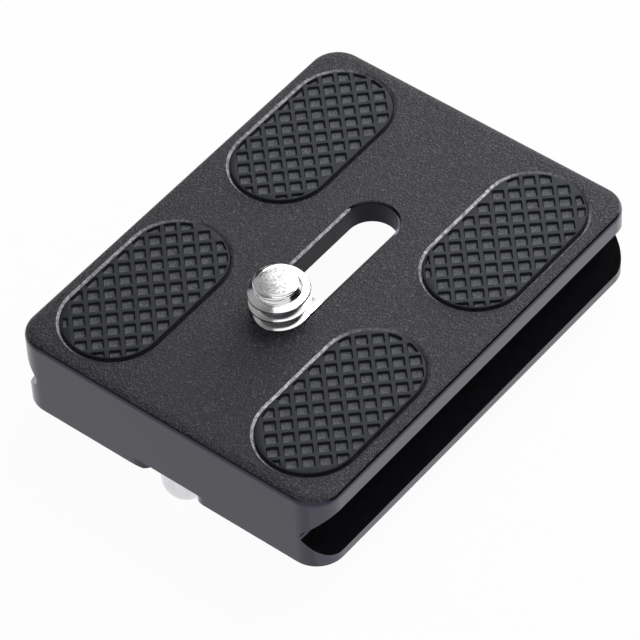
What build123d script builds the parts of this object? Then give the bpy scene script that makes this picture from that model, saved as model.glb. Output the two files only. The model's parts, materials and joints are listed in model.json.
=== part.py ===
from build123d import *

import os
from math import ceil, cos, hypot, radians, sin

# Quick release plate for a camera tripod: a metal dovetail plate with four waffled grip pads, a captive
# camera screw that slides along a slot and turns, a folding ring on the screw's head, and two stop screws
# underneath. Millimetres. X runs along the dovetail, Z points up to the camera. The origin is under the
# middle of the plate, level with the lowest points of the stop screws.

# Plate
PLATE_LENGTH = 50.0
PLATE_WIDTH = 38.0
PLATE_HEIGHT = 9.7
CORNER_RADIUS = 3.1
TOP_BEVEL = 0.25
BOTTOM_BEVEL = 0.35
LIP_BEVEL = 0.4
LIP_LAND = 0.1

# Dovetail groove in each long side, with flanks at 45 degrees
TOP_FLANGE = 2.35
BOTTOM_FLANGE = 1.32
GROOVE_FLAT = 0.75
GROOVE_CORNER = 0.5

# Channel along the underside
CHANNEL_WIDTH = 8.6
CHANNEL_DEPTH = 1.4
CHANNEL_CORNER = 0.5
CHANNEL_BEVEL = 0.8

# Slot for the camera screw, the web of metal that it passes through, and the recess below the web
SLOT_LENGTH = 19.64
SLOT_WIDTH = 5.45
WEB_THICKNESS = 2.7
RECESS_CORNER = 3.0

# Grip pads, set in pockets in the top face
PAD_LENGTH = 20.0
PAD_WIDTH = 10.4
PAD_CLEARANCE = 0.1
PAD_END_MARGIN = 2.0
PAD_SIDE_MARGIN = 1.7
POCKET_DEPTH = 1.2
PAD_PROUD = 0.15
PIT_SIZE = 1.15
PIT_PITCH = 1.62
PIT_DEPTH = 0.3
PIT_TURN = 45.0
PIT_EDGE_ROOM = 0.02

# Each pad is cut from one waffled sheet, so the pattern falls differently on each: its turn in degrees, and
# the pit nearest the pad's centre as shares of the pitch along the two rows
PADS = {
    "grip_pad_front_left": {"side": (1, 1), "turn": 0.0, "phase": (-0.19, 0.46)},
    "grip_pad_front_right": {"side": (1, -1), "turn": -2.5, "phase": (-0.21, 0.07)},
    "grip_pad_rear_left": {"side": (-1, 1), "turn": -1.0, "phase": (-0.07, 0.15)},
    "grip_pad_rear_right": {"side": (-1, -1), "turn": -1.0, "phase": (-0.41, 0.32)},
}

# Camera screw
THREAD_RADIUS = 3.1
THREAD_REACH = 3.9
TIP_RADIUS = 1.87
TIP_LENGTH = 1.15
SHOULDER_GAP = 0.1
NECK_CLEARANCE = 0.27
SCREW_PLAY = 1.7
HEAD_RADIUS = 6.0
HEAD_THICKNESS = 1.3
LUG_LENGTH = 7.4
LUG_WIDTH = 4.6
LUG_BELOW = 1.55

# Washer on the screw's neck
WASHER_RADIUS = 6.1
WASHER_THICKNESS = 0.6
WASHER_BORE_CLEARANCE = 0.1
WASHER_FACE_GAP = 0.05

# Folding ring: a flat steel bow with a pin between its arms, through the lug under the screw's head
RING_HALF_WIDTH = 5.7
RING_BAND = 1.6
RING_THICKNESS = 1.5
RING_SIDE = 1.8
RING_HEEL = 1.0
RING_DROP = 1.4
RING_ROOM = 1.4
PIN_RADIUS = 0.6
PIN_CLEARANCE = 0.06

# Stop screws
STOP_RADIUS = 2.5
STOP_REACH = 2.9
STOP_INSET = 2.7
STOP_BEVEL_DEPTH = 1.2
STOP_BEVEL_HEIGHT = 1.3
STOP_SHANK_RADIUS = 1.5
STOP_SHANK_LENGTH = 4.0
STOP_SHANK_CLEARANCE = 0.02
STOP_HOLE_END_ROOM = 0.3
SOCKET_FLATS = 1.8
SOCKET_DEPTH = 1.2

# Distance within which two points count as the same when edges and corners are picked
SAME = 0.001

# Heights
base_z = STOP_REACH
top_z = base_z + PLATE_HEIGHT
channel_z = base_z + CHANNEL_DEPTH
web_z = top_z - WEB_THICKNESS
pocket_z = top_z - POCKET_DEPTH
washer_z = web_z - SCREW_PLAY
head_z = washer_z - WASHER_THICKNESS - WASHER_FACE_GAP
head_under_z = head_z - HEAD_THICKNESS
ring_z = head_under_z - RING_DROP
lug_z = ring_z - LUG_BELOW

# Places that several pieces share
pad_x = PLATE_LENGTH / 2 - PAD_END_MARGIN - PAD_LENGTH / 2
pad_y = PLATE_WIDTH / 2 - PAD_SIDE_MARGIN - PAD_WIDTH / 2
pocket_wall = 2 * (pad_x - PAD_LENGTH / 2 - PAD_CLEARANCE)
slot_wall = pad_y - PAD_WIDTH / 2 - PAD_CLEARANCE - SLOT_WIDTH / 2
lip_bevel = min(LIP_BEVEL, (min(pocket_wall, slot_wall) - LIP_LAND) / 2)
screw_travel = SLOT_LENGTH - SLOT_WIDTH
screw_x = -screw_travel / 2
neck_radius = SLOT_WIDTH / 2 - NECK_CLEARANCE
ring_reach = RING_SIDE + RING_HALF_WIDTH
recess_reach = ring_reach + RING_ROOM
stop_x = PLATE_LENGTH / 2 - STOP_INSET


def upright(sketch, low, high):
    """A prism of a plan outline between two heights."""
    return extrude(Pos(Z=low) * sketch, amount=high - low)


def at_height(shape, height):
    """The edges of a shape that lie in one level."""
    return shape.edges().filter_by_position(Axis.Z, height - SAME, height + SAME)


def plate_section():
    """The drawn section of the plate, across the dovetail."""
    half_width = PLATE_WIDTH / 2
    half_channel = CHANNEL_WIDTH / 2
    groove_low = base_z + BOTTOM_FLANGE
    groove_high = top_z - TOP_FLANGE
    depth = (groove_high - groove_low - GROOVE_FLAT) / 2
    groove_y = half_width - depth
    half = [
        (half_channel, channel_z),
        (half_channel, base_z + CHANNEL_BEVEL),
        (half_channel + CHANNEL_BEVEL, base_z),
        (half_width, base_z),
        (half_width, groove_low),
        (groove_y, groove_low + depth),
        (groove_y, groove_high - depth),
        (half_width, groove_high),
        (half_width, top_z),
    ]
    mirrored = [(-y, z) for y, z in reversed(half)]
    section = make_face(Polyline(*half, *mirrored, close=True))
    inner = section.vertices().filter_by(lambda v: abs(abs(v.X) - groove_y) < SAME)
    section = fillet(inner, radius=GROOVE_CORNER)
    channel = section.vertices().filter_by(lambda v: abs(v.Y - channel_z) < SAME)
    return fillet(channel, radius=CHANNEL_CORNER)


def pad_places():
    """The centres of the four pads."""
    return [(pad_x * pad["side"][0], pad_y * pad["side"][1]) for pad in PADS.values()]


def plate_body():
    """The drawn bar cut to a rounded outline, with pad pockets, slot, recess and the stop screws' holes."""
    bar = extrude(Plane.YZ * plate_section(), amount=PLATE_LENGTH / 2, both=True)
    outline = RectangleRounded(PLATE_LENGTH, PLATE_WIDTH, CORNER_RADIUS)
    body = bar & upright(outline, base_z, top_z)
    body = chamfer(at_height(body, top_z), length=TOP_BEVEL)
    foot = CHANNEL_WIDTH / 2 + CHANNEL_BEVEL
    outer = at_height(body, base_z).filter_by(lambda edge: abs(edge.center().Y) > foot + SAME)
    body = chamfer(outer, length=BOTTOM_BEVEL)

    pocket = SlotOverall(PAD_LENGTH + 2 * PAD_CLEARANCE, PAD_WIDTH + 2 * PAD_CLEARANCE)
    for x, y in pad_places():
        body -= upright(Pos(x, y) * pocket, pocket_z, top_z)
    body -= upright(SlotOverall(SLOT_LENGTH, SLOT_WIDTH), web_z, top_z)
    top_face = body.faces().filter_by(Plane.XY).sort_by(Axis.Z)[-1]
    lips = [edge for wire in top_face.inner_wires() for edge in wire.edges()]
    body = chamfer(lips, length=lip_bevel)

    recess = RectangleRounded(screw_travel + 2 * recess_reach, 2 * recess_reach, RECESS_CORNER)
    body -= upright(recess, base_z, web_z)
    hole = Circle(STOP_SHANK_RADIUS + STOP_SHANK_CLEARANCE)
    hole_end = channel_z + STOP_SHANK_LENGTH + STOP_HOLE_END_ROOM
    for x in (-stop_x, stop_x):
        body -= upright(Pos(x, 0) * hole, channel_z, hole_end)
    return body


def pit_fits(corners):
    """Whether a pit lies inside the pad's outline."""
    straight = (PAD_LENGTH - PAD_WIDTH) / 2
    reach = PAD_WIDTH / 2 - PIT_EDGE_ROOM
    return all(hypot(max(abs(x) - straight, 0), y) < reach for x, y in corners)


def grip_pad(side, turn, phase):
    """A rubber pad with rows of shallow square pits."""
    outline = SlotOverall(PAD_LENGTH, PAD_WIDTH)
    angle = radians(PIT_TURN + turn)
    rows = ceil((PAD_LENGTH / 2) / PIT_PITCH) + 1
    half = PIT_SIZE / 2
    square = [(-half, -half), (half, -half), (half, half), (-half, half)]
    pits = []
    for i in range(-rows, rows + 1):
        for j in range(-rows, rows + 1):
            u, v = (i + phase[0]) * PIT_PITCH, (j + phase[1]) * PIT_PITCH
            points = [(u + a, v + b) for a, b in square]
            corners = [(a * cos(angle) - b * sin(angle), a * sin(angle) + b * cos(angle)) for a, b in points]
            if pit_fits(corners):
                pits.append(make_face(Polyline(*corners, close=True)))
    pad_top = top_z + PAD_PROUD
    pad = upright(outline, pocket_z, pad_top - PIT_DEPTH)
    pad += upright(outline - pits, pad_top - PIT_DEPTH, pad_top)
    return Pos(pad_x * side[0], pad_y * side[1]) * pad


def camera_screw():
    """A turned screw with a plain neck in the slot, a flat head, and a lug below it with a cross hole."""
    shoulder_z = top_z + SHOULDER_GAP
    tip_z = top_z + THREAD_REACH
    profile = Polyline(
        (0, tip_z),
        (TIP_RADIUS, tip_z),
        (THREAD_RADIUS, tip_z - TIP_LENGTH),
        (THREAD_RADIUS, shoulder_z),
        (neck_radius, shoulder_z),
        (neck_radius, head_z),
        (HEAD_RADIUS, head_z),
        (HEAD_RADIUS, head_under_z),
        (0, head_under_z),
        close=True,
    )
    screw = revolve(Plane.XZ * make_face(profile), axis=Axis.Z)
    lug = upright(Circle(LUG_LENGTH / 2) & Rectangle(LUG_WIDTH, LUG_LENGTH), lug_z, head_under_z)
    hole = Pos(Z=ring_z) * Rot(X=90) * Cylinder(PIN_RADIUS + PIN_CLEARANCE, LUG_LENGTH)
    return Pos(X=screw_x) * (screw + lug - hole)


def screw_washer():
    """A flat washer between the screw's head and the web."""
    ring = Circle(WASHER_RADIUS) - Circle(neck_radius + WASHER_BORE_CLEARANCE)
    return Pos(X=screw_x) * upright(ring, washer_z - WASHER_THICKNESS, washer_z)


def bow(half_width):
    """Half of a disc with straight sides that run on past the pin."""
    side = RING_SIDE + RING_HEEL
    middle = (RING_HEEL - RING_SIDE) / 2
    half_disc = Circle(half_width) & Pos(X=-half_width) * Rectangle(2 * half_width, 2 * half_width)
    return Pos(X=-RING_SIDE) * half_disc + Pos(X=middle) * Rectangle(side, 2 * half_width)


def folding_ring():
    """The flat bow, folded towards the near end of the plate."""
    low, high = -RING_THICKNESS / 2, RING_THICKNESS / 2
    ring = upright(bow(RING_HALF_WIDTH), low, high)
    ring -= upright(bow(RING_HALF_WIDTH - RING_BAND), low, high)
    return Pos(screw_x, 0, ring_z) * ring


def ring_pin():
    """The pin that the ring turns on, from arm to arm."""
    return Pos(screw_x, 0, ring_z) * Rot(X=90) * Cylinder(PIN_RADIUS, 2 * (RING_HALF_WIDTH - RING_BAND))


def stop_screw(x):
    """A stop screw with a bevelled round head and a hexagon socket, screwed up into the channel."""
    shank_top = channel_z + STOP_SHANK_LENGTH
    profile = Polyline(
        (0, 0),
        (STOP_RADIUS - STOP_BEVEL_DEPTH, 0),
        (STOP_RADIUS, STOP_BEVEL_HEIGHT),
        (STOP_RADIUS, channel_z),
        (STOP_SHANK_RADIUS, channel_z),
        (STOP_SHANK_RADIUS, shank_top),
        (0, shank_top),
        close=True,
    )
    screw = revolve(Plane.XZ * make_face(profile), axis=Axis.Z)
    socket = RegularPolygon(SOCKET_FLATS / 2, 6, major_radius=False)
    return Pos(X=x) * (screw - upright(socket, 0, SOCKET_DEPTH))


pieces = {name: grip_pad(**pad) for name, pad in PADS.items()}
pieces["plate_body"] = plate_body()
pieces["camera_screw"] = camera_screw()
pieces["screw_washer"] = screw_washer()
pieces["folding_ring"] = folding_ring()
pieces["ring_pin"] = ring_pin()
pieces["stop_screw_front"] = stop_screw(stop_x)
pieces["stop_screw_rear"] = stop_screw(-stop_x)

os.makedirs("parts", exist_ok=True)
for name, piece in pieces.items():
    export_step(piece, f"parts/{name}.step")
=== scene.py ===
import json
import math

import bmesh
import bpy
from mathutils import Euler, Matrix, Vector


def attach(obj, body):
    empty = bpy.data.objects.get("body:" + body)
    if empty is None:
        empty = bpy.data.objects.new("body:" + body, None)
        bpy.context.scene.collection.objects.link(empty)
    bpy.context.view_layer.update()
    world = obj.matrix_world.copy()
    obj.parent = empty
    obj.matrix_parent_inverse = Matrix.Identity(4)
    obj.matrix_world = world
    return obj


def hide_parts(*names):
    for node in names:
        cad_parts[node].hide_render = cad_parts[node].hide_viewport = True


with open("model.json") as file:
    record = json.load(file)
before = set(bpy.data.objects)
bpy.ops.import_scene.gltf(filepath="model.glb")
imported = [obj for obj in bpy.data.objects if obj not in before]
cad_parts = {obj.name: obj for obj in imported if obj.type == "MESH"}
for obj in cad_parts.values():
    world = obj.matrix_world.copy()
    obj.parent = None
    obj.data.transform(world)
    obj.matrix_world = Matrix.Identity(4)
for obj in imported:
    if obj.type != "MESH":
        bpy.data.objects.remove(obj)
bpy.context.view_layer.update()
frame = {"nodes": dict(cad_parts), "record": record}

# A tripod quick release plate. The solids of the frame get their finish, and the plate, the pads and the
# screws get the fine form that the solids leave out. Meshes are built in millimetres, and the stage is set
# in metres.

nodes = frame["nodes"]
scene = bpy.context.scene
MM = 0.001

# Plate, as in the solids
HALF_LENGTH = 25.0
HALF_WIDTH = 19.0
CORNER_RADIUS = 3.1
CORNER_X = HALF_LENGTH - CORNER_RADIUS
CORNER_Y = HALF_WIDTH - CORNER_RADIUS
TOP_Z = 12.6
BASE_Z = 2.9
LIP_BEVEL = 0.4
SLOT_STRAIGHT = 7.095
SLOT_RADIUS = 2.725
CHANNEL_Z = 4.3
CHANNEL_HALF = 4.3
CHANNEL_CORNER = 0.5
CHANNEL_BEVEL = 0.8

# Grip pads, as in the solids: each is cut from one waffled sheet, so the pattern falls differently on each
PAD_LENGTH = 20.0
PAD_WIDTH = 10.4
PAD_STRAIGHT = (PAD_LENGTH - PAD_WIDTH) / 2
PAD_CLEARANCE = 0.1
PAD_X = 13.0
PAD_Y = 12.1
PAD_TOP = 12.75
POCKET_Z = 11.4
PIT_PITCH = 1.62
PIT_TURN = 45.0
PADS = {
    "grip_pad_front_left": {"side": (1, 1), "turn": 0.0, "phase": (-0.19, 0.46)},
    "grip_pad_front_right": {"side": (1, -1), "turn": -2.5, "phase": (-0.21, 0.07)},
    "grip_pad_rear_left": {"side": (-1, 1), "turn": -1.0, "phase": (-0.07, 0.15)},
    "grip_pad_rear_right": {"side": (-1, -1), "turn": -1.0, "phase": (-0.41, 0.32)},
}

# Narrow lips round the pockets and the slot
LIP_WIDTH = 0.30
LIP_DEPTH = 0.115

# Mouth of the channel at each end of the underside, narrower than in the solids and with rounded edges
MOUTH_HALF = 2.7
MOUTH_RADIUS = 1.8
# Height of its lower bevel, and the share that is left of that bevel's width in the solids
MOUTH_BEVEL = 0.5
MOUTH_BEVEL_SHARE = 0.06

# Rolled top edge of the plate: its width, then inset from the outline and depth below the top face, from
# outside to the top
ROLL_WIDTH = 1.27
ROLLED_EDGE = (
    (-0.3, 11.0), (-0.3, 0.9), (-0.006, 0.785), (0.004, 0.69), (0.018, 0.611), (0.04, 0.529),
    (0.07, 0.455), (0.11, 0.386), (0.165, 0.327), (0.25, 0.261), (0.37, 0.192), (0.51, 0.133),
    (0.67, 0.084), (0.85, 0.0455), (1.05, 0.0175), (1.35, -0.007), (1.35, -1.0),
)

# Camera screw: a cut thread above the plate, and a raised disc at its end
SCREW_X = -SLOT_STRAIGHT
# The solid is cut off in its neck, and a sleeve with these heights and radii joins it to the thread
NECK_CUT_Z = 12.5
NECK_RADIUS = 2.445
NECK_SLEEVE = ((12.25, NECK_RADIUS), (12.75, NECK_RADIUS))
THREAD_LOW = 12.7
THREAD_TOP = 16.31
THREAD_PITCH = 1.27
# Share of a turn by which the crest runs behind at the thread's foot
THREAD_START = 0.386
# Corners round one turn, and rows of faces in one pitch
THREAD_AROUND = 144
THREAD_ROWS = 32
# Largest and smallest radius of the thread at each height: it fades out in a cone towards the end
CREST = ((12.7, 3.1), (15.45, 3.1), (15.92, 2.84), (16.31, 1.98))
ROOT = ((12.7, 2.38), (15.75, 2.38), (16.05, 2.15), (16.31, 1.93))
# Shares of half the pitch that the crest's flat and the flanks take, with a steeper flank above the last turn
CREST_FLAT = 0.16
FLANK = 0.58
LAST_FLANK = 0.22
LAST_TURN_Z = 15.75
# Heights and radii of the raised disc
DISC = ((15.85, 1.88), (16.41, 1.88), (16.47, 1.85), (16.50, 1.78))
# Corners round a turned form
TURNED_AROUND = 96

# Stop screws
STOP_X = 22.3
STOP_RADIUS = 2.5
STOP_DOME_Z = 2.25
STOP_DOME_STEPS = 12
STOP_HEAD_TOP = 4.3
STOP_SHANK_RADIUS = 1.5
STOP_SHANK_TOP = 8.3
SOCKET_HALF = 0.9
SOCKET_DEPTH = 1.2
SOCKET_BEVEL_WIDTH = 0.05
SOCKET_BEVEL_DEPTH = 0.06

# Rolled edges of the pressed parts
ROLLED_PARTS = {"screw_washer": 0.25, "folding_ring": 0.3}
ROLLED_SEGMENTS = 4
ROLLED_ANGLE = 60.0

# Inset and height of a pad's outline, up to a rounded top edge
PAD_EDGE = ((0.0, 11.4), (0.0, 12.58), (0.025, 12.67), (0.07, 12.73), (0.135, 12.761), (0.135, 13.5))
# Least width of plain rubber between a pit and the pad's outline
PAD_RIM = 0.17
# Half size, corner radius and depth of each loop of a pit, from its rim to its floor
PIT_LOOPS = (
    (0.640, 0.16, 0.0),
    (0.620, 0.15, 0.015),
    (0.600, 0.14, 0.05),
    (0.510, 0.11, 0.29),
    (0.490, 0.10, 0.32),
    (0.450, 0.09, 0.335),
)
PIT_RIM = PIT_LOOPS[0][0]
PIT_FLOOR = PIT_LOOPS[-1][0]
# Depths in a pit between which the rubber's colour turns to that of the floor
FLOOR_COLOUR_FROM = 0.26
FLOOR_COLOUR_TO = 0.325

# Distances within which places count as the same or as near, and within which corners are joined
SAME = 0.01
NEAR = 0.03
WELD = 0.0005
PLATE_WELD = 0.001
# Edges sharper than these angles stay sharp
PLATE_SMOOTH = 19.0
STOP_SMOOTH = 35.0
SCREW_SMOOTH = 28.0
PAD_SMOOTH = 32.0
# A shape with fewer faces than this has come out of its cut empty
FEWEST_FACES = 1000
QUARTERS = ((1, 1), (-1, 1), (-1, -1), (1, -1))


# Shapes
def arc(middle, radius, first, last, steps):
    """Points of an arc about a middle point, between two angles."""
    angles = [first + (last - first) * k / steps for k in range(steps + 1)]
    return [(middle[0] + radius * math.cos(a), middle[1] + radius * math.sin(a)) for a in angles]


def rounded_rectangle(half_x, half_y, radius, steps):
    """Points of a rectangle with rounded corners, counter-clockwise."""
    points = []
    for quarter, (sx, sy) in enumerate(QUARTERS):
        middle = (sx * (half_x - radius), sy * (half_y - radius))
        points += arc(middle, radius, math.pi / 2 * quarter, math.pi / 2 * (quarter + 1), steps)
    return points


def level(bm, points, z):
    """Vertices of a plan outline at one height."""
    return [bm.verts.new((x, y, z)) for x, y in points]


def join_levels(bm, levels):
    """A closed form from levels with as many vertices each."""
    for under, over in zip(levels, levels[1:]):
        for k in range(len(under)):
            m = (k + 1) % len(under)
            bm.faces.new((under[k], under[m], over[m], over[k]))
    bm.faces.new(levels[0])
    bm.faces.new(levels[-1])


def node_mesh(name):
    """A copy of a node's mesh in millimetres."""
    bm = bmesh.new()
    bm.from_mesh(nodes[name].data)
    bmesh.ops.transform(bm, matrix=Matrix.Scale(1 / MM, 4), verts=bm.verts)
    return bm


def new_object(name, bm):
    """A mesh object from a bmesh in millimetres."""
    bmesh.ops.transform(bm, matrix=Matrix.Scale(MM, 4), verts=bm.verts)
    bmesh.ops.recalc_face_normals(bm, faces=bm.faces)
    mesh = bpy.data.meshes.new(name)
    bm.to_mesh(mesh)
    bm.free()
    obj = bpy.data.objects.new(name, mesh)
    scene.collection.objects.link(obj)
    return obj


def smooth(obj, angle):
    """Smooth shading with edges sharper than the angle kept."""
    for poly in obj.data.polygons:
        poly.use_smooth = True
    obj.data.set_sharp_from_angle(angle=math.radians(angle))


def apply_boolean(obj, cutter, operation):
    """Cuts an object's mesh with another object, which is then removed."""
    cut = obj.modifiers.new("cut", "BOOLEAN")
    cut.operation = operation
    cut.solver = "EXACT"
    cut.object = cutter
    bpy.context.view_layer.update()
    shaped = bpy.data.meshes.new_from_object(obj.evaluated_get(bpy.context.evaluated_depsgraph_get()))
    obj.modifiers.clear()
    obj.data = shaped
    bpy.data.objects.remove(cutter)
    obj.data.materials.clear()


# Materials
def new_material(name):
    """A node material, its tree and its shader."""
    mat = bpy.data.materials.new(name)
    mat.use_nodes = True
    return mat, mat.node_tree, mat.node_tree.nodes["Principled BSDF"]


def feed(tree, value, socket):
    """Links a node's output to a socket, or sets the socket to a plain value."""
    if isinstance(value, bpy.types.NodeSocket):
        tree.links.new(value, socket)
    else:
        socket.default_value = value


def dress(tree, node, values):
    """Feeds the named sockets of a node."""
    for name, value in values.items():
        feed(tree, value, node.inputs[name])


def object_place(tree):
    """A point's place in its object, in metres."""
    return tree.nodes.new("ShaderNodeTexCoord").outputs["Object"]


def noise(tree, scale, detail, roughness):
    """Noise that stays with the object."""
    node = tree.nodes.new("ShaderNodeTexNoise")
    place = object_place(tree)
    dress(tree, node, {"Vector": place, "Scale": scale, "Detail": detail, "Roughness": roughness})
    return node.outputs["Fac"]


def stretch(tree, value, low, high, out_low=0.0, out_high=1.0):
    """Maps a range of values to another, and cuts off what lies outside."""
    node = tree.nodes.new("ShaderNodeMapRange")
    dress(tree, node, {"Value": value, "From Min": low, "From Max": high})
    dress(tree, node, {"To Min": out_low, "To Max": out_high})
    return node.outputs["Result"]


def combine(tree, operation, first, second):
    """One value worked out from two."""
    node = tree.nodes.new("ShaderNodeMath")
    node.operation = operation
    feed(tree, first, node.inputs[0])
    feed(tree, second, node.inputs[1])
    return node.outputs[0]


def mix_colour(tree, factor, first, second):
    """A colour between two, which are plain colours or other nodes."""
    node = tree.nodes.new("ShaderNodeMix")
    node.data_type = "RGBA"
    by_name = {socket.identifier: socket for socket in node.inputs}
    feed(tree, factor, by_name["Factor_Float"])
    for name, colour in (("A_Color", first), ("B_Color", second)):
        feed(tree, (*colour, 1.0) if isinstance(colour, tuple) else colour, by_name[name])
    return next(socket for socket in node.outputs if socket.identifier == "Result_Color")


def bump(tree, height, strength, distance):
    """A surface normal tilted by small heights."""
    node = tree.nodes.new("ShaderNodeBump")
    dress(tree, node, {"Height": height, "Strength": strength, "Distance": distance})
    return node.outputs["Normal"]


def blasted():
    """Black anodised aluminium with a bead-blasted grain."""
    mat, tree, shader = new_material("anodised_blasted")
    fine = noise(tree, scale=5200.0, detail=2.5, roughness=0.6)
    grain = stretch(tree, fine, 0.42, 0.64)
    dress(tree, shader, {
        "Base Color": mix_colour(tree, grain, (0.001, 0.001, 0.0012), (0.062, 0.062, 0.069)),
        "Roughness": stretch(tree, fine, 0.3, 0.7, 0.42, 0.34),
        "Specular IOR Level": 0.33,
        "Specular Tint": (0.87, 0.87, 1.0, 1.0),
        "Normal": bump(tree, grain, strength=1.0, distance=0.00013),
    })
    return mat


def drawn(name, gloss, smoothest, roughest):
    """Black anodised aluminium as drawn or milled, smooth with a slight unevenness."""
    mat, tree, shader = new_material(name)
    uneven = noise(tree, scale=900.0, detail=3.0, roughness=0.5)
    dress(tree, shader, {
        "Base Color": mix_colour(tree, uneven, (0.004, 0.004, 0.0046), (0.006, 0.006, 0.0068)),
        "Roughness": stretch(tree, uneven, 0.3, 0.7, smoothest, roughest),
        "Specular IOR Level": gloss,
        "Specular Tint": (0.74, 0.73, 1.0, 1.0),
    })
    return mat


def cut_edge():
    """Bare cut edges, dull with fine tool marks."""
    mat, tree, shader = new_material("cut_edge")
    marks = noise(tree, scale=3000.0, detail=3.0, roughness=0.6)
    bright = stretch(tree, marks, 0.3, 0.7)
    dress(tree, shader, {
        "Base Color": mix_colour(tree, bright, (0.03, 0.03, 0.0325), (0.115, 0.115, 0.121)),
        "Metallic": 1.0,
        "Roughness": stretch(tree, marks, 0.3, 0.7, 0.30, 0.22),
    })
    return mat


def rubber():
    """Moulded rubber: finely mottled floors in the pits, smooth ridges between them."""
    mat, tree, shader = new_material("pad_rubber")
    split = tree.nodes.new("ShaderNodeSeparateXYZ")
    feed(tree, object_place(tree), split.inputs[0])
    wall_z = (PAD_TOP - FLOOR_COLOUR_FROM) * MM
    floor_z = (PAD_TOP - FLOOR_COLOUR_TO) * MM
    sunk = stretch(tree, split.outputs["Z"], wall_z, floor_z)
    fine = noise(tree, scale=4200.0, detail=3.0, roughness=0.6)
    patch = noise(tree, scale=700.0, detail=2.0, roughness=0.5)
    mottle = stretch(tree, fine, 0.35, 0.65)
    scuffed = mix_colour(tree, mottle, (0.036, 0.0365, 0.041), (0.125, 0.127, 0.138))
    ground = mix_colour(tree, patch, (0.008, 0.0083, 0.0095), (0.011, 0.0114, 0.0128))
    dress(tree, shader, {
        "Base Color": mix_colour(tree, sunk, ground, scuffed),
        "Roughness": stretch(tree, fine, 0.3, 0.7, 0.5, 0.66),
        "Specular IOR Level": 0.20,
        "Specular Tint": (0.80, 0.84, 1.0, 1.0),
        "Normal": bump(tree, combine(tree, "MULTIPLY", fine, sunk), strength=0.4, distance=0.00008),
    })
    return mat


def plated(name, colour, smoothest, roughest, scale, dark_share=0.90):
    """Bright plated steel with fine handling marks."""
    mat, tree, shader = new_material(name)
    marks = noise(tree, scale, detail=4.0, roughness=0.65)
    dark = tuple(c * dark_share for c in colour)
    dress(tree, shader, {
        "Base Color": mix_colour(tree, stretch(tree, marks, 0.35, 0.65), dark, colour),
        "Metallic": 1.0,
        "Roughness": stretch(tree, marks, 0.3, 0.7, roughest, smoothest),
        "Normal": bump(tree, marks, strength=0.12, distance=0.00003),
    })
    return mat


slots = {
    "anodised_plate": drawn("anodised_plain", gloss=0.64, smoothest=0.17, roughest=0.20),
    "pad_rubber": rubber(),
    "plated_steel": plated("plated_steel", (0.76, 0.76, 0.77), smoothest=0.11, roughest=0.19, scale=1500.0),
    "washer_steel": plated("washer_steel", (0.88, 0.88, 0.90), smoothest=0.20, roughest=0.28, scale=2500.0),
    "ring_steel": plated("ring_steel", (0.76, 0.76, 0.77), smoothest=0.14, roughest=0.22, scale=1800.0),
    "stop_steel": plated("stop_steel", (0.71, 0.71, 0.74), smoothest=0.20, roughest=0.24, scale=600.0),
}
for part in frame["record"]["subparts"]:
    materials = nodes[part["node"]].data.materials
    materials.clear()
    materials.append(slots[part["material_slot"]])

# The plate: blasted on top, plain on its sides, duller and less glossy in the slot as painted shade, with
# bare lips round the openings
PLAIN, BLASTED, SLOT_SHADE, LIP = range(4)
# Upward share of a face's normal: the most on an upright face, the least on the top and on its rolled
# edge, and both on a lip
UPRIGHT_LEAN = 0.02
TOP_LEAN = 0.99
ROLL_LEAN = 0.8
LIP_LEANS = (0.88, 0.97)
# Faces that meet within this angle are made one before the cuts
FLAT_ANGLE = 0.3
# A point this near the plate's outline counts as on it
ON_OUTLINE = 0.02
ROUND_STEPS = 24
MOUTH_STEPS = 16
# How far the mouths' cutters reach past the metal, where they start, and their gap below the channel's roof
CUT_OVER = 0.3
CUT_LOW_Z = 2.0
CUT_GAP = 0.01
# How far round the channel's walls, and above its roof, corners are moved with them
WALL_MARGIN = 0.3
ROOF_MARGIN = 0.05
# Middle, half the straight length and radius of the slot and the pockets
OPENINGS = [(0.0, 0.0, SLOT_STRAIGHT, SLOT_RADIUS)] + [
    (PAD_X * sx, PAD_Y * sy, PAD_STRAIGHT, PAD_WIDTH / 2 + PAD_CLEARANCE) for sx, sy in QUARTERS
]


def outline_inset(x, y):
    """How far a point lies inside the plate's rounded outline."""
    return CORNER_RADIUS - math.hypot(max(abs(x) - CORNER_X, 0.0), max(abs(y) - CORNER_Y, 0.0))


def corner_normal(point):
    """The outward normal of the rounded outline at a point in metres, or None away from it."""
    x, y = point.x / MM, point.y / MM
    if abs(outline_inset(x, y)) >= ON_OUTLINE:
        return None
    core = (min(max(x, -CORNER_X), CORNER_X), min(max(y, -CORNER_Y), CORNER_Y))
    return Vector((x - core[0], y - core[1], 0.0)).normalized()


def shade(mesh):
    """Smooth shading in proportion to the faces' areas, and a true round at the plate's corners."""
    limit = math.cos(math.radians(PLATE_SMOOTH))
    around = [[] for _ in mesh.vertices]
    for poly in mesh.polygons:
        poly.use_smooth = True
        for v in poly.vertices:
            around[v].append(poly)
    normals = []
    for poly in mesh.polygons:
        upright = abs(poly.normal.z) < UPRIGHT_LEAN
        for v in poly.vertices:
            normal = corner_normal(mesh.vertices[v].co) if upright else None
            if normal is None:
                near = [other for other in around[v] if other.normal.dot(poly.normal) > limit]
                normal = sum((other.normal * other.area for other in near), Vector()).normalized()
            normals.append(normal)
    mesh.normals_split_custom_set(normals)


def flatten_lips(bm):
    """Makes the bevels round the openings narrow and nearly flat."""
    for v in bm.verts:
        for x, y, straight, radius in OPENINGS:
            middle = Vector((x + min(max(v.co.x - x, -straight), straight), y))
            out = v.co.xy - middle
            if abs(v.co.z - TOP_Z) < SAME and abs(out.length - radius - LIP_BEVEL) < NEAR:
                v.co.xy = middle + out.normalized() * (radius + LIP_WIDTH)
            elif abs(v.co.z - TOP_Z + LIP_BEVEL) < SAME and abs(out.length - radius) < NEAR:
                v.co.z = TOP_Z - LIP_DEPTH


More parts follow.
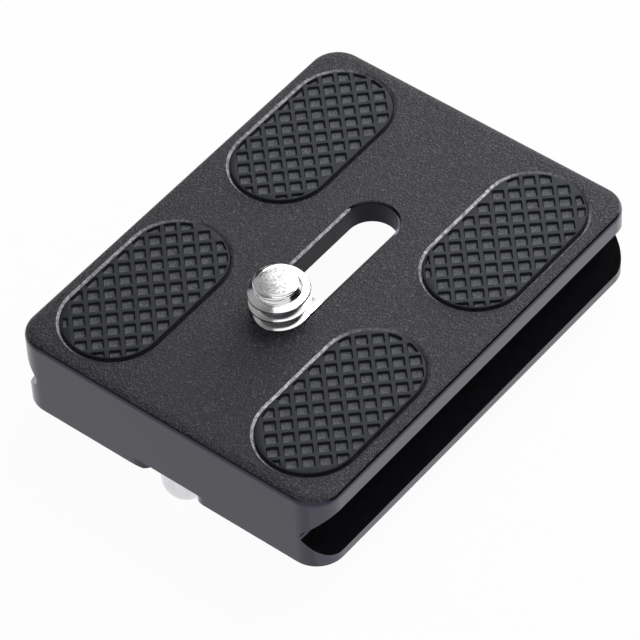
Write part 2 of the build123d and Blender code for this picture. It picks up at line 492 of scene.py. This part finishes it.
def narrow_channel(bm):
    """Brings the channel's walls and bevels in beside the stop screws' heads."""
    least = CHANNEL_HALF - CHANNEL_CORNER - WALL_MARGIN
    most = CHANNEL_HALF + CHANNEL_BEVEL + WALL_MARGIN
    for v in bm.verts:
        across = abs(v.co.y)
        if v.co.z >= CHANNEL_Z + ROOF_MARGIN or not least < across < most:
            continue
        past = across - CHANNEL_HALF
        moved = MOUTH_HALF + (past if past < 0 else MOUTH_BEVEL_SHARE * past)
        v.co.y = math.copysign(moved, v.co.y)
        if abs(v.co.z - BASE_Z - CHANNEL_BEVEL) < SAME:
            v.co.z = BASE_Z + MOUTH_BEVEL


def mouth_cutter():
    """Prisms that round the channel's upright edges at both ends."""
    bm = bmesh.new()
    near = MOUTH_HALF - CUT_OVER
    far = MOUTH_HALF + MOUTH_RADIUS
    inner = HALF_LENGTH - MOUTH_RADIUS
    outer = HALF_LENGTH + CUT_OVER
    mouth = [(outer, near), (outer, far)]
    mouth += arc((inner, far), MOUTH_RADIUS, 0.0, -math.pi / 2, MOUTH_STEPS)
    mouth.append((inner, near))
    for sx, sy in QUARTERS:
        points = [(sx * x, sy * y) for x, y in mouth]
        join_levels(bm, [level(bm, points, CUT_LOW_Z), level(bm, points, CHANNEL_Z - CUT_GAP)])
    return new_object("mouth_cutter", bm)


def rolled_block():
    """A block with the plate's outline and its rolled top edge."""
    bm = bmesh.new()
    levels = []
    for inset, depth in ROLLED_EDGE:
        radius = CORNER_RADIUS - inset
        points = rounded_rectangle(CORNER_X + radius, CORNER_Y + radius, radius, ROUND_STEPS)
        levels.append(level(bm, points, TOP_Z - depth))
    join_levels(bm, levels)
    return new_object("rolled_block", bm)


def plate_finish(poly):
    """The material of one face of the plate."""
    x, y, z = (c / MM for c in poly.center)
    lean = poly.normal.z
    on_top = lean > TOP_LEAN and z > TOP_Z - SAME
    on_roll = lean > ROLL_LEAN and outline_inset(x, y) < ROLL_WIDTH
    if on_top or on_roll:
        return BLASTED
    if LIP_LEANS[0] < lean < LIP_LEANS[1] and z > TOP_Z - LIP_DEPTH:
        return LIP
    in_slot = math.hypot(max(abs(x) - SLOT_STRAIGHT, 0.0), y) < SLOT_RADIUS + NEAR
    return SLOT_SHADE if in_slot and z < TOP_Z - LIP_DEPTH else PLAIN


def plate():
    """The plate with its lips, mouths, rolled edge and finishes."""
    bm = node_mesh("plate_body")
    bmesh.ops.remove_doubles(bm, verts=bm.verts, dist=PLATE_WELD)
    bmesh.ops.dissolve_limit(bm, angle_limit=math.radians(FLAT_ANGLE), verts=bm.verts, edges=bm.edges)
    flatten_lips(bm)
    narrow_channel(bm)
    obj = new_object("plate_body_finished", bm)
    apply_boolean(obj, mouth_cutter(), "DIFFERENCE")
    apply_boolean(obj, rolled_block(), "INTERSECT")
    assert len(obj.data.polygons) > FEWEST_FACES, obj.name
    shade(obj.data)
    # A duller copy of the plain finish on the slot's walls: painted shade, standing in for the shade inside
    # the slot
    slot_shade = drawn("anodised_slot_shade", gloss=0.20, smoothest=0.42, roughest=0.48)
    for mat in (slots["anodised_plate"], blasted(), slot_shade, cut_edge()):
        obj.data.materials.append(mat)
    for poly in obj.data.polygons:
        poly.material_index = plate_finish(poly)
    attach(obj, "plate")
    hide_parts("plate_body")


plate()

for node_name, width in ROLLED_PARTS.items():
    edge = nodes[node_name].modifiers.new("rim", "BEVEL")
    edge.width = width * MM
    edge.segments = ROLLED_SEGMENTS
    edge.limit_method = "ANGLE"
    edge.angle_limit = math.radians(ROLLED_ANGLE)


# Stop screws
def stop_screw(name, x):
    """A stop screw with a round dome and a hexagon socket."""
    bm = bmesh.new()
    angles = [2 * math.pi * k / TURNED_AROUND for k in range(TURNED_AROUND)]

    def loop(radius_at, z):
        return level(bm, [(x + radius_at(a) * math.cos(a), radius_at(a) * math.sin(a)) for a in angles], z)

    def hexagon(half, z):
        return loop(lambda a: half / math.cos((a + math.pi / 6) % (math.pi / 3) - math.pi / 6), z)

    def circle(radius, z):
        return loop(lambda a: radius, z)

    first = math.acos(STOP_DOME_Z / STOP_RADIUS)
    leans = [first + (math.pi / 2 - first) * k / STOP_DOME_STEPS for k in range(STOP_DOME_STEPS + 1)]
    join_levels(bm, [
        hexagon(SOCKET_HALF, SOCKET_DEPTH),
        hexagon(SOCKET_HALF, SOCKET_BEVEL_DEPTH),
        hexagon(SOCKET_HALF + SOCKET_BEVEL_WIDTH, 0.0),
        *(circle(STOP_RADIUS * math.sin(a), STOP_DOME_Z - STOP_RADIUS * math.cos(a)) for a in leans),
        circle(STOP_RADIUS, STOP_HEAD_TOP),
        circle(STOP_SHANK_RADIUS, STOP_HEAD_TOP),
        circle(STOP_SHANK_RADIUS, STOP_SHANK_TOP),
    ])
    obj = new_object(name + "_domed", bm)
    smooth(obj, STOP_SMOOTH)
    obj.data.materials.append(slots["stop_steel"])
    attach(obj, "plate")
    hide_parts(name)


stop_screw("stop_screw_front", STOP_X)
stop_screw("stop_screw_rear", -STOP_X)


# Camera screw: the solid below the thread, and a cut thread above the plate
def along(table, z):
    """A value read from a table of heights."""
    for (z0, a), (z1, b) in zip(table, table[1:]):
        if z <= z1:
            return a + (b - a) * max(z - z0, 0.0) / (z1 - z0)
    return table[-1][1]


def thread_radius(turn, z):
    """The thread's radius at a share of a turn and a height."""
    phase = ((z - THREAD_LOW) / THREAD_PITCH - turn - THREAD_START) % 1.0
    from_crest = 2.0 * min(phase, 1.0 - phase)
    flank = FLANK if z < LAST_TURN_Z or phase > 0.5 else LAST_FLANK
    down = min(max((from_crest - CREST_FLAT) / flank, 0.0), 1.0)
    crest, root = along(CREST, z), along(ROOT, z)
    return crest - (crest - root) * down


def turned(bm, profile):
    """A closed turned form on the screw's axis, from a table of heights and radii."""
    angles = [2 * math.pi * k / TURNED_AROUND for k in range(TURNED_AROUND)]
    join_levels(bm, [
        level(bm, [(SCREW_X + r * math.cos(a), r * math.sin(a)) for a in angles], z) for z, r in profile
    ])


def thread(bm):
    """The cut thread, whose rows climb with the helix and are cut off level at both ends."""
    rows = int((THREAD_TOP - THREAD_LOW) / THREAD_PITCH * THREAD_ROWS) + 2 * THREAD_ROWS
    rings = []
    for k in range(rows):
        ring = []
        for j in range(THREAD_AROUND):
            turn = j / THREAD_AROUND
            z = THREAD_LOW - THREAD_PITCH + (k / THREAD_ROWS + turn) * THREAD_PITCH
            z = min(max(z, THREAD_LOW), THREAD_TOP)
            r = thread_radius(turn, z)
            a = 2 * math.pi * turn
            ring.append(bm.verts.new((SCREW_X + r * math.cos(a), r * math.sin(a), z)))
        rings.append(ring)
    for k in range(rows - 1):
        for j in range(THREAD_AROUND - 1):
            bm.faces.new((rings[k][j], rings[k][j + 1], rings[k + 1][j + 1], rings[k + 1][j]))
        above = k + THREAD_ROWS
        if above + 1 < rows:
            bm.faces.new((rings[k][-1], rings[above][0], rings[above + 1][0], rings[k + 1][-1]))
    made = [v for ring in rings for v in ring]
    bmesh.ops.remove_doubles(bm, verts=made, dist=WELD)
    rims = {e for v in made if v.is_valid for e in v.link_edges if e.is_boundary}
    for rim_z in (THREAD_TOP, THREAD_LOW):
        rim = [e for e in rims if all(abs(v.co.z - rim_z) < SAME for v in e.verts)]
        bmesh.ops.contextual_create(bm, geom=rim)


def camera_screw():
    """The solid up to its neck, with the thread and the raised disc above it."""
    bm = node_mesh("camera_screw")
    bmesh.ops.remove_doubles(bm, verts=bm.verts, dist=WELD)
    everything = bm.verts[:] + bm.edges[:] + bm.faces[:]
    cut = bmesh.ops.bisect_plane(
        bm, geom=everything, plane_co=(0, 0, NECK_CUT_Z), plane_no=(0, 0, 1), clear_outer=True
    )
    rim = [e for e in cut["geom_cut"] if isinstance(e, bmesh.types.BMEdge)]
    bmesh.ops.contextual_create(bm, geom=rim)
    thread(bm)
    turned(bm, NECK_SLEEVE)
    turned(bm, DISC)
    obj = new_object("camera_screw_threaded", bm)
    smooth(obj, SCREW_SMOOTH)
    # The end disc gets a darker, blotchier copy of the plating: partly handling marks, partly painted shade
    # standing in for the grey reflection on the disc
    end = plated(
        "screw_end_painted_shade", (0.46, 0.46, 0.465), smoothest=0.30, roughest=0.44, scale=3900.0, dark_share=0.45
    )
    obj.data.materials.append(slots["plated_steel"])
    obj.data.materials.append(end)
    for poly in obj.data.polygons:
        poly.material_index = int(poly.center.z > (DISC[-1][0] - SAME) * MM)
    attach(obj, "screw")
    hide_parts("camera_screw")


camera_screw()

# Grip pads
PIT_CORNER_STEPS = 3
PAD_ROUND_STEPS = 64
# A pit that the rim cuts off has this many points, each found by this many halvings
CUT_PIT_POINTS = 48
HALVINGS = 14
# Cells whose middle lies this far outside the pad are left out of its sheet
CELL_ROOM = 1.7
# The sheet reaches this far below the pocket's floor before it is cut
SHEET_BELOW = 0.5
# A grid of points over a share of such a pit's floor, in steps from its middle: with fewer of them on the
# pad than the fewest, the pit is left out
FLOOR_STEPS = 5
FLOOR_SHARE = 0.9
FEWEST_FLOOR_POINTS = 8


def off_axis(point, spin):
    """How far a point of the turned sheet lies from the pad's middle line."""
    p = spin @ Vector((*point, 0.0))
    return math.hypot(max(abs(p.x) - PAD_STRAIGHT, 0.0), p.y)


def cut_ring(cell, spin, origin, half, corner, reach):
    """Points of a pit's rounded square where the pad's rim cuts it off, round a point inside both."""
    def inside(point):
        over = [max(abs(point[k] - cell[k]) - half + corner, 0.0) for k in (0, 1)]
        return math.hypot(*over) < corner and off_axis(point, spin) < reach

    def towards(a, distance):
        return origin[0] + distance * math.cos(a), origin[1] + distance * math.sin(a)

    points = []
    for k in range(CUT_PIT_POINTS):
        a = 2 * math.pi * k / CUT_PIT_POINTS
        near, far = 0.0, 2.0 * half * math.sqrt(2)
        for _ in range(HALVINGS):
            middle = (near + far) / 2
            if inside(towards(a, middle)):
                near = middle
            else:
                far = middle
        points.append(towards(a, near))
    return points


def pit_rings(cell, spin):
    """A point inside a pit and the pit's loops, cut off at the pad's rim, or None where there is no room."""
    u, v = cell
    room = PAD_WIDTH / 2 - PAD_RIM
    if all(off_axis((u + su * PIT_RIM, v + sv * PIT_RIM), spin) < room for su, sv in QUARTERS):
        loops = []
        for half, corner, _ in PIT_LOOPS:
            square = rounded_rectangle(half, half, corner, PIT_CORNER_STEPS)
            loops.append([(u + x, v + y) for x, y in square])
        return cell, loops
    step = FLOOR_SHARE * PIT_FLOOR / FLOOR_STEPS
    grid = range(-FLOOR_STEPS, FLOOR_STEPS + 1)
    floor_points = [(u + i * step, v + j * step) for i in grid for j in grid]
    kept = [p for p in floor_points if off_axis(p, spin) < room - PIT_RIM + PIT_FLOOR]
    if len(kept) < FEWEST_FLOOR_POINTS:
        return None
    origin = (sum(p[0] for p in kept) / len(kept), sum(p[1] for p in kept) / len(kept))
    loops = []
    for half, corner, _ in PIT_LOOPS:
        loops.append(cut_ring(cell, spin, origin, half, corner, room - PIT_RIM + half))
    return origin, loops


def waffle_cell(sheet, cell, spin):
    """One cell of the sheet: a pit and the ridge round it, or plain rubber where a pit has no room."""
    u, v = cell
    half = PIT_PITCH / 2
    corners = level(sheet, [(u + su * half, v + sv * half) for su, sv in QUARTERS], PAD_TOP)
    pit = pit_rings(cell, spin)
    if pit is None:
        sheet.faces.new(corners)
        return
    origin, loops = pit
    rings = [level(sheet, loop, PAD_TOP - depth) for loop, (_, _, depth) in zip(loops, PIT_LOOPS)]

    def bearing(x, y):
        return math.atan2(y - origin[1], x - origin[0])

    first, *others = (bearing(u + su * half, v + sv * half) for su, sv in ((1, 0), (0, 1), (-1, 0), (0, -1)))
    sides = [(side - first) % (2 * math.pi) for side in others]
    owners = []
    for point in rings[0]:
        past = (bearing(point.co.x, point.co.y) - first) % (2 * math.pi)
        owners.append(sum(past >= side for side in sides))
    size = len(owners)
    for k in range(size):
        m = (k + 1) % size
        ridge = [corners[owners[k]], rings[0][m], rings[0][k]]
        if owners[m] != owners[k]:
            ridge.insert(1, corners[owners[m]])
        sheet.faces.new(ridge)
        for outer, inner in zip(rings, rings[1:]):
            sheet.faces.new((outer[k], outer[m], inner[m], inner[k]))
    sheet.faces.new(rings[-1])


def waffle_sheet(name, middle, turn, phase):
    """A piece of waffled sheet, larger than the pad that is cut from it."""
    spin = Matrix.Rotation(math.radians(PIT_TURN + turn), 4, "Z")
    sheet = bmesh.new()
    rows = math.ceil(PAD_LENGTH / 2 / PIT_PITCH) + 2
    for i in range(-rows, rows + 1):
        for j in range(-rows, rows + 1):
            cell = ((i + phase[0]) * PIT_PITCH, (j + phase[1]) * PIT_PITCH)
            place = spin @ Vector((*cell, 0.0))
            if abs(place.x) <= PAD_LENGTH / 2 + CELL_ROOM and abs(place.y) <= PAD_WIDTH / 2 + CELL_ROOM:
                waffle_cell(sheet, cell, spin)
    bmesh.ops.remove_doubles(sheet, verts=sheet.verts, dist=WELD)
    rim = [e for e in sheet.edges if e.is_boundary]
    wall = bmesh.ops.extrude_edge_only(sheet, edges=rim)["geom"]
    foot = {v for v in wall if isinstance(v, bmesh.types.BMVert)}
    for v in foot:
        v.co.z = POCKET_Z - SHEET_BELOW
    foot_edges = [e for e in wall if isinstance(e, bmesh.types.BMEdge) and foot.issuperset(e.verts)]
    bmesh.ops.triangle_fill(sheet, edges=foot_edges, use_beauty=True)
    move = Matrix.Translation((*middle, 0.0)) @ spin
    bmesh.ops.transform(sheet, matrix=move, verts=sheet.verts)
    return new_object(name, sheet)


def pad_block(name, middle):
    """A block with the pad's outline and rounded top edge."""
    bm = bmesh.new()
    levels = []
    for inset, z in PAD_EDGE:
        points = []
        for end in (1, -1):
            start = -end * math.pi / 2
            centre = (middle[0] + end * PAD_STRAIGHT, middle[1])
            points += arc(centre, PAD_WIDTH / 2 - inset, start, start + math.pi, PAD_ROUND_STEPS)
        levels.append(level(bm, points, z))
    join_levels(bm, levels)
    return new_object(name, bm)


def grip_pad(name, side, turn, phase):
    """A rubber pad with rows of square pits, cut from its sheet."""
    middle = (PAD_X * side[0], PAD_Y * side[1])
    obj = waffle_sheet(name + "_waffle", middle, turn, phase)
    apply_boolean(obj, pad_block(name + "_cutter", middle), "INTERSECT")
    assert len(obj.data.polygons) > FEWEST_FACES, name
    smooth(obj, PAD_SMOOTH)
    obj.data.materials.append(slots["pad_rubber"])
    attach(obj, "plate")
    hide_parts(name)


for pad_name, pad in PADS.items():
    grip_pad(pad_name, **pad)

# Stage, in metres
FLOOR_HALF = 3.0
FLOOR_Z = -0.0003
FLOOR_TONE = 0.86
# Share of the floor that shows as plain white, with the rest left for the shadow
FLOOR_WHITE = 0.96
ROOM_LIGHT = 0.25
CARD_TONE = 0.02
# Where the lamps point
TARGET = (0.0, 0.0, 0.012)
# A bright strip on the floor along the near long side, which the flanges mirror
STRIP_X = (-0.1, 0.12)
STRIP_Y = (-0.1, -0.0195)
STRIP_Z = -0.0002


def stage_sheet(name, corners):
    """A flat sheet of the stage."""
    mesh = bpy.data.meshes.new(name)
    mesh.from_pydata(corners, [], [(0, 1, 2, 3)])
    obj = bpy.data.objects.new(name, mesh)
    scene.collection.objects.link(obj)
    return obj


def grey(tone):
    """A grey for a colour socket."""
    return tone, tone, tone, 1.0


def seen_directly(tree):
    """One where a camera, glossy or transmission ray arrives, and zero elsewhere."""
    path = tree.nodes.new("ShaderNodeLightPath").outputs
    either = combine(tree, "MAXIMUM", path["Is Camera Ray"], path["Is Glossy Ray"])
    return combine(tree, "MAXIMUM", either, path["Is Transmission Ray"])


def mix_shader(tree, factor, first, second):
    """A surface between two."""
    node = tree.nodes.new("ShaderNodeMixShader")
    for socket, value in zip(node.inputs, (factor, first, second)):
        feed(tree, value, socket)
    return node.outputs[0]


def floor():
    """A white floor that keeps the object's shadow, and is clear from below."""
    mat, tree, shader = new_material("floor")
    dress(tree, shader, {"Base Color": grey(FLOOR_TONE), "Roughness": 0.9, "Specular IOR Level": 0.0})
    glow = tree.nodes.new("ShaderNodeEmission")
    dress(tree, glow, {"Color": grey(1.0)})
    white = combine(tree, "MULTIPLY", seen_directly(tree), FLOOR_WHITE)
    top = mix_shader(tree, white, shader.outputs[0], glow.outputs[0])
    below = tree.nodes.new("ShaderNodeNewGeometry").outputs["Backfacing"]
    clear = tree.nodes.new("ShaderNodeBsdfTransparent").outputs[0]
    feed(tree, mix_shader(tree, below, top, clear), tree.nodes["Material Output"].inputs["Surface"])
    obj = stage_sheet("floor", [(FLOOR_HALF * sx, FLOOR_HALF * sy, FLOOR_Z) for sx, sy in QUARTERS])
    obj.data.materials.append(mat)


def surroundings():
    """A dim white room, which shows as plain white where it is seen."""
    world = bpy.data.worlds.new("studio")
    scene.world = world
    world.use_nodes = True
    tree = world.node_tree
    strength = stretch(tree, seen_directly(tree), 0.0, 1.0, ROOM_LIGHT, 1.0)
    dress(tree, tree.nodes["Background"], {"Color": grey(1.0), "Strength": strength})


def softbox(name, place, size, radiance):
    """A rectangular lamp that faces the plate."""
    lamp = bpy.data.lights.new(name, "AREA")
    lamp.shape = "RECTANGLE"
    lamp.size, lamp.size_y = size
    lamp.energy = radiance * math.pi * size[0] * size[1]
    obj = bpy.data.objects.new(name, lamp)
    obj.location = place
    obj.rotation_mode = "QUATERNION"
    obj.rotation_quaternion = (Vector(TARGET) - Vector(place)).to_track_quat("-Z", "Y")
    scene.collection.objects.link(obj)
    obj.visible_camera = False


def reflector(name, corners, glow):
    """A plain card that only reflections see."""
    obj = stage_sheet(name, corners)
    mat, tree, shader = new_material(name)
    dress(tree, shader, {
        "Base Color": grey(CARD_TONE),
        "Roughness": 1.0,
        "Specular IOR Level": 0.0,
        "Emission Color": grey(1.0),
        "Emission Strength": glow,
    })
    obj.data.materials.append(mat)
    obj.visible_camera = False
    obj.visible_diffuse = False
    obj.visible_shadow = False


def card(name, azimuth, elevation, size, distance, glow):
    """A reflector that faces the plate. Azimuth from +X towards +Y in degrees, size across and up."""
    a, e = math.radians(azimuth), math.radians(elevation)
    out = Vector((math.cos(a) * math.cos(e), math.sin(a) * math.cos(e), math.sin(e)))
    across = Vector((-math.sin(a), math.cos(a), 0.0)) * size[0] / 2
    up = out.cross(across).normalized() * size[1] / 2
    corners = [out * distance + sx * across + sy * up for sx, sy in ((-1, -1), (1, -1), (1, 1), (-1, 1))]
    reflector(name, corners, glow)


floor()
surroundings()
softbox("key", place=(0.147, -0.031, 0.212), size=(0.13, 0.13), radiance=6.5)
softbox("overhead", place=(0.05, 0.0, 0.60), size=(0.5, 0.5), radiance=0.5)
softbox("strip", place=(0.48, 0.02, 0.14), size=(0.5, 0.22), radiance=2.6)
card("card_right", -62, 30, size=(0.50, 0.42), distance=0.45, glow=0.0)
card("card_left", 130, 45, size=(0.46, 0.44), distance=0.45, glow=0.2)
card("card_back", 64, 13, size=(0.34, 0.18), distance=0.45, glow=0.0)
card("card_shade", 79, 48, size=(0.12, 0.13), distance=0.13, glow=0.4)
card("card_glow", 29, 48, size=(0.12, 0.13), distance=0.13, glow=3.8)
strip = [(STRIP_X[i], STRIP_Y[j], STRIP_Z) for i, j in ((0, 0), (1, 0), (1, 1), (0, 1))]
reflector("card_floor", strip, glow=1.3)

# Camera, at the photograph's angle, with its turns in degrees
CAMERA_PLACE = (-0.220876, -0.189420, 0.325492)
CAMERA_TURN = (42.1652, 2.1412, -51.5728)
camera = bpy.data.cameras.new("camera")
camera.sensor_width = 36.0
camera.lens = 246.556
camera.clip_start, camera.clip_end = 0.01, 20.0
view = bpy.data.objects.new("camera", camera)
turn = Euler([math.radians(a) for a in CAMERA_TURN]).to_matrix().to_4x4()
view.matrix_world = Matrix.Translation(CAMERA_PLACE) @ turn
scene.collection.objects.link(view)
scene.camera = view

scene.view_settings.view_transform = "Standard"
